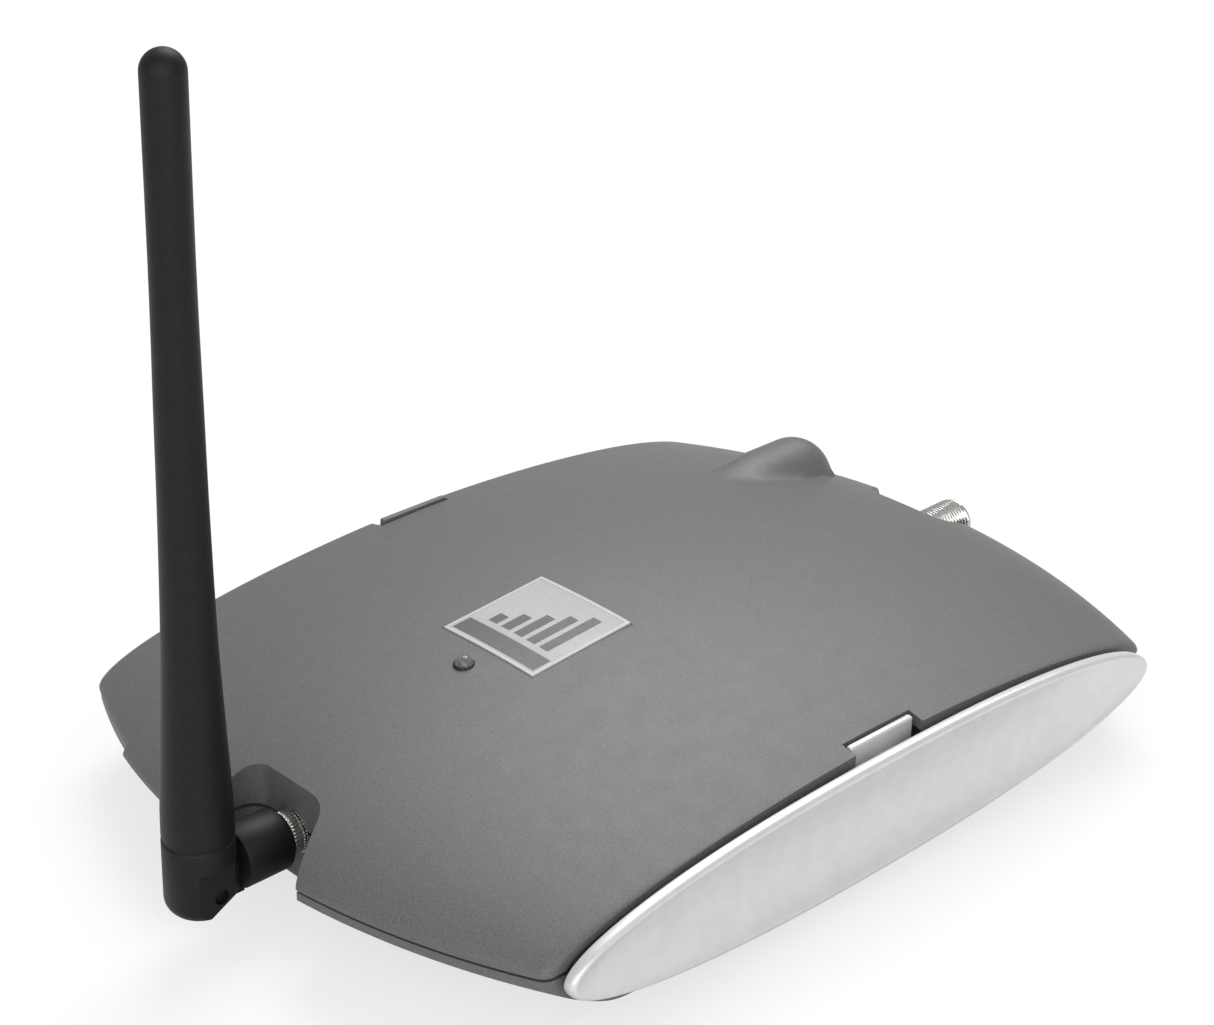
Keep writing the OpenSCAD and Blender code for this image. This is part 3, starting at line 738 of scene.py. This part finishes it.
# %% [markdown]
# ## Antenna
# The whip is a lathe shape that tapers from foot to tip, with a fork cut in its foot. The elbow is
# a barrel with a tongue that fits the fork. Both lean a little about the swivel axis, as the CAD
# does, so their meshes are turned about that axis once they are complete.

# %% Whip profile
swivel_axis = Vector((0, 0, seam + port_z)) * MM
lean = (Matrix.Translation(swivel_axis) @ Matrix.Rotation(math.radians(2), 4, "Y")
        @ Matrix.Translation(-swivel_axis))
base_r = 6.15
tip_r = 3.5
tip_z = 140
foot_z = -8
elbow_end = half_y + 0.25
whip_y = -(elbow_end + 0.35 + base_r)
pin_y = whip_y + 0.8
pin_z = port_z - 2.5
tongue_r = 3.4
tongue_w = 3.8
foot_round = [(base_r - 3 + 3 * math.sin(math.radians(a)), foot_z + 3 - 3 * math.cos(math.radians(a)))
              for a in range(0, 91, 10)]
tip_round = [(tip_r * math.cos(math.radians(a)), tip_z - tip_r + tip_r * math.sin(math.radians(a)))
             for a in range(0, 91, 9)]
taper = [(12, base_r - 0.12), (27, 0.86 * base_r), (43, 0.74 * base_r), (66, 0.655 * base_r),
         (84, tip_r + 0.3), (98, tip_r + 0.1), (tip_z - 30, tip_r)]


def taper_radius(z):
    """A smooth radius between the rings of the taper, by cubic blending."""
    knots = [(7.2, base_r - 0.05)] + taper
    for i in range(len(knots) - 1):
        z0, r0 = knots[i]
        z1, r1 = knots[i + 1]
        if z <= z1:
            before = knots[max(i - 1, 0)]
            after = knots[min(i + 2, len(knots) - 1)]
            m0 = (r1 - before[1]) / (z1 - before[0]) * (z1 - z0)
            m1 = (after[1] - r0) / (after[0] - z0) * (z1 - z0)
            t = (z - z0) / (z1 - z0)
            return ((2 * t ** 3 - 3 * t ** 2 + 1) * r0 + (t ** 3 - 2 * t ** 2 + t) * m0
                    + (3 * t ** 2 - 2 * t ** 3) * r1 + (t ** 3 - t ** 2) * m1)
    return tip_r


whip_profile = [(0, foot_z)] + foot_round + [(base_r, 5.9), (base_r - 0.1, 6.15), (base_r - 0.3, 6.35),
                                             (base_r - 0.3, 6.85), (base_r - 0.05, 7.2)]
whip_profile += [(taper_radius(z), z) for z in range(9, 110, 3)]
whip_profile += [(tip_r, 118), (tip_r, 127)] + tip_round
whip_profile[-1] = (0, tip_z)

# %% Cut the fork
whip = solid("whip", lathe(whip_profile, (0, whip_y, 0), steps=96))
slot_half = tongue_w / 2 + 0.3
reach = tongue_r + 0.3
fork_half = 5
fork_top = 2.3
cuts = [block((x, whip_y - 20, -20), (x + 15, whip_y + 20, fork_top)) for x in (-20, fork_half)]
cuts += [
    block((-10, -(elbow_end + 2), -30), (10, -70, fork_top)),
    block((-slot_half, pin_y, -60), (slot_half, 0, pin_z + reach)),
    block((-slot_half, pin_y - reach, -60), (slot_half, 0, pin_z)),
    drum(reach, -slot_half, slot_half, axis="X", centre=(pin_y, pin_z)),
    drum(1.41, -20, 20, axis="X", centre=(pin_y, pin_z), sides=48),
    drum(1.1, -1, tip_z - 11, axis="Z", centre=(0, whip_y), sides=32),
]
combine(whip, [solid("cut", cut) for cut in cuts], "DIFFERENCE")
chamfer = block((-10, 0, -12), (10, 12, 0))
bmesh.ops.rotate(chamfer, matrix=Matrix.Rotation(math.radians(-61), 3, "X"), verts=chamfer.verts,
                 cent=Vector((0, 0, seam)) * MM)
bmesh.ops.translate(chamfer, vec=Vector((0, -(elbow_end + 2.3), -4.1)) * MM, verts=chamfer.verts)
combine(whip, [solid("chamfer", chamfer)], "DIFFERENCE")
whip.data.transform(lean)
finish_piece(whip, "whip", looks["antenna_black"], ["antenna_whip"])

# %% [markdown]
# The elbow's barrel has a small chamfer where it meets the nut. The tongue is a block with a round
# end. It is joined to the barrel, bored for the plug and drilled for the pin.

# %% Build the elbow
nut_end = notch_back + 0.35
nut_face = nut_end + 2.6
elbow_start = nut_face + 0.1
elbow_r = 5.55
length = elbow_end - elbow_start
barrel = [(0, 0), (elbow_r - 1.1, 0), (elbow_r - 0.95, 0.06), (elbow_r - 0.1, 0.9), (elbow_r, 1.1),
          (elbow_r, length - 0.5), (elbow_r - 0.12, length - 0.15), (elbow_r - 0.45, length), (0, length)]
bm = lathe(barrel, (0, 0, 0), axis="Y", steps=80)
bmesh.ops.rotate(bm, matrix=Matrix.Rotation(math.pi, 3, "Z"), verts=bm.verts)
bmesh.ops.translate(bm, vec=Vector((0, -elbow_start, port_z)) * MM, verts=bm.verts)
elbow = solid("elbow", bm)
tongue_half = tongue_w / 2
blade = [block((-tongue_half, pin_y, pin_z - tongue_r), (tongue_half, -elbow_end + 1, pin_z + tongue_r)),
         drum(tongue_r, -tongue_half, tongue_half, axis="X", centre=(pin_y, pin_z))]
combine(elbow, [solid("tongue", part) for part in blade], "UNION")
holes = [drum(2.32, -nut_face - 4, 0, centre=(0, port_z), sides=48),
         drum(1.37, -20, 20, axis="X", centre=(pin_y, pin_z), sides=48)]
combine(elbow, [solid("hole", part) for part in holes], "DIFFERENCE")
elbow.data.transform(lean)
finish_piece(elbow, "elbow", looks["antenna_black"], ["antenna_elbow"])

# %% [markdown]
# ## Knurled nut and coax port
# The knurl is a ring of fine ridges, so the nut's outside is a grid wrapped round its axis with a
# radius that rises and falls. The coax thread is the same idea with the ripple running as a helix.

# %% Build the knurled nut
ridges = 40


def nut_place(u, v):
    """Rings from the bore's mouth, over the knurl, to the back face."""
    rings = [(3.28, 0.0, 0), (3.28, 2.05, 0), (2.45, 2.1, 0), (2.45, 2.6, 0), (3.6, 2.6, 0),
             (3.8, 2.5, 1), (4.0, 2.3, 1), (4.0, 1.7, 1), (4.0, 1.0, 1), (4.0, 0.3, 1), (3.8, 0.1, 1),
             (3.6, 0.0, 0), (3.28, 0.0, 0)]
    radius, depth, ridged = rings[round(v * (len(rings) - 1))]
    a = 2 * math.pi * u
    radius -= 0.17 * ridged * (0.5 - 0.5 * math.cos(ridges * a))
    return (radius * math.cos(a), -(nut_end + depth), seam + port_z + radius * math.sin(a))


nut = solid("knurled_nut", skin(ridges * 8, 12, nut_place))
finish_piece(nut, "nut", looks["nickel_steel"], ["coupling_nut"], angle=60)

# %% Build the coax port
pitch = 0.794
coax_r = 4.75
coax_tip = notch_back + 17.8
thread_start = notch_back + 2


def thread_place(u, v):
    """A helical ripple along the port, with plain rims at both ends."""
    a = 2 * math.pi * u
    y = thread_start + (coax_tip - thread_start) * v
    turns = (y - thread_start) / pitch + u
    ripple = abs(2 * (turns % 1) - 1)
    fade = min(max((coax_tip - y) / 0.8, 0), 1)
    radius = coax_r - 0.42 * ripple * fade - 0.25 * (1 - fade)
    return (radius * math.cos(a), y, seam + port_z + radius * math.sin(a))


bm = skin(72, 160, thread_place)
bmesh.ops.holes_fill(bm, edges=[edge for edge in bm.edges if edge.is_boundary])
coax = solid("coax_thread", bm)
inner = drum(coax_r, notch_back - wall - 2.8, thread_start + 0.3, centre=(0, port_z))
hexagon = drum(6.4, notch_back + 0.02, thread_start + 0.02, centre=(0, port_z), sides=6)
bmesh.ops.rotate(hexagon, matrix=Matrix.Rotation(math.radians(30), 3, "Y"), verts=hexagon.verts,
                 cent=Vector((0, 0, seam + port_z)) * MM)
rounded(hexagon, 0.25, 2)
combine(coax, [solid("part", inner), solid("part", hexagon)], "UNION")
bore = drum(3.4, notch_back - wall - 4, coax_tip + 1, centre=(0, port_z))
combine(coax, [solid("bore", bore)], "DIFFERENCE")
finish_piece(coax, "case", looks["nickel_steel"], ["coax_port"], angle=60)

# %% [markdown]
# ## Feet
# Each foot is a lathe shape with a soft edge and a shallow hollow underneath, like a moulded pad.

# %% Build the feet
foot_profile = [(0, foot_top), (5, foot_top), (5, -seam + 0.9), (4.75, -seam + 0.3), (4.2, -seam),
                (2.6, -seam), (2.2, -seam + 0.25), (0, -seam + 0.3)]
bm = bmesh.new()
for x, y in foot_spots:
    absorb(bm, lathe(foot_profile, (x, y, 0), steps=48))
feet = solid("feet", bm)
finish_piece(feet, "case", looks["foot_rubber"], ["rubber_feet"])

# %% [markdown]
# ## Floor, light and camera
# The object stands on a plain pale floor under soft lamps. The floor and the world show as white to
# the camera through Light Path, so the white costs no extra light on the object.

# %% Floor and world
bm = bmesh.new()
bmesh.ops.create_grid(bm, x_segments=1, y_segments=1, size=6)
floor = solid("floor", bm)
floor_material = bpy.data.materials.new("floor")
floor_material.use_nodes = True
nodes, links = floor_material.node_tree.nodes, floor_material.node_tree.links
nodes["Principled BSDF"].inputs["Base Color"].default_value = (0.8, 0.8, 0.8, 1)
nodes["Principled BSDF"].inputs["Roughness"].default_value = 0.9
ray = nodes.new("ShaderNodeLightPath")
share = nodes.new("ShaderNodeMath")
share.operation = "MULTIPLY"
share.inputs[1].default_value = 0.7
links.new(ray.outputs["Is Camera Ray"], share.inputs[0])
glow = nodes.new("ShaderNodeEmission")
floor_mix = nodes.new("ShaderNodeMixShader")
links.new(share.outputs["Value"], floor_mix.inputs["Fac"])
links.new(nodes["Principled BSDF"].outputs["BSDF"], floor_mix.inputs[1])
links.new(glow.outputs["Emission"], floor_mix.inputs[2])
links.new(floor_mix.outputs["Shader"], nodes["Material Output"].inputs["Surface"])
floor.data.materials.append(floor_material)

world = bpy.data.worlds.new("studio")
bpy.context.scene.world = world
world.use_nodes = True
nodes, links = world.node_tree.nodes, world.node_tree.links
ray = nodes.new("ShaderNodeLightPath")
seen = nodes.new("ShaderNodeMath")
seen.operation = "MAXIMUM"
links.new(ray.outputs["Is Camera Ray"], seen.inputs[0])
links.new(ray.outputs["Is Transmission Ray"], seen.inputs[1])
plain = nodes["Background"]
plain.inputs["Color"].default_value = (1, 1, 1, 1)
plain.inputs["Strength"].default_value = 0.55
white = nodes.new("ShaderNodeBackground")
white.inputs["Strength"].default_value = 1.0
mix = nodes.new("ShaderNodeMixShader")
links.new(seen.outputs["Value"], mix.inputs["Fac"])
links.new(plain.outputs["Background"], mix.inputs[1])
links.new(white.outputs["Background"], mix.inputs[2])
links.new(mix.outputs["Shader"], nodes["World Output"].inputs["Surface"])


# %% Lamps
def lamp(name, place, power, size):
    """A soft square lamp aimed at the middle of the case."""
    data = bpy.data.lights.new(name, "AREA")
    data.energy = power
    data.size = size
    obj = bpy.data.objects.new(name, data)
    bpy.context.scene.collection.objects.link(obj)
    obj.location = place
    obj.rotation_euler = (Vector((0, 0, 0.02)) - Vector(place)).to_track_quat("-Z", "Y").to_euler()
    return obj


lamp("key", (-0.35, 0.5, 0.9), 9, 0.7)
lamp("fill", (0.9, -0.5, 0.5), 6, 0.9)
lamp("front", (0.3, -0.9, 0.5), 2.5, 0.8)

# %% Camera
azimuth, elevation, roll = (math.radians(angle) for angle in (46.11, 26.44, 0.78))
back = Vector((math.sin(azimuth) * math.cos(elevation), -math.cos(azimuth) * math.cos(elevation),
               math.sin(elevation)))
level = Vector((math.cos(azimuth), math.sin(azimuth), 0))
upward = back.cross(level)
right = math.cos(roll) * level + math.sin(roll) * upward
up = math.cos(roll) * upward - math.sin(roll) * level
aim = Vector((-50.1, 42.3, seam)) * MM
camera = bpy.data.objects.new("camera", bpy.data.cameras.new("camera"))
bpy.context.scene.collection.objects.link(camera)
camera.data.sensor_width = 36
camera.data.lens = 76.4
camera_distance = 0.5454
camera_turn = Matrix((right, up, back)).transposed().to_4x4()
camera.matrix_world = Matrix.Translation(aim + back * camera_distance) @ camera_turn
bpy.context.scene.camera = camera
bpy.context.scene.view_settings.view_transform = "Standard"
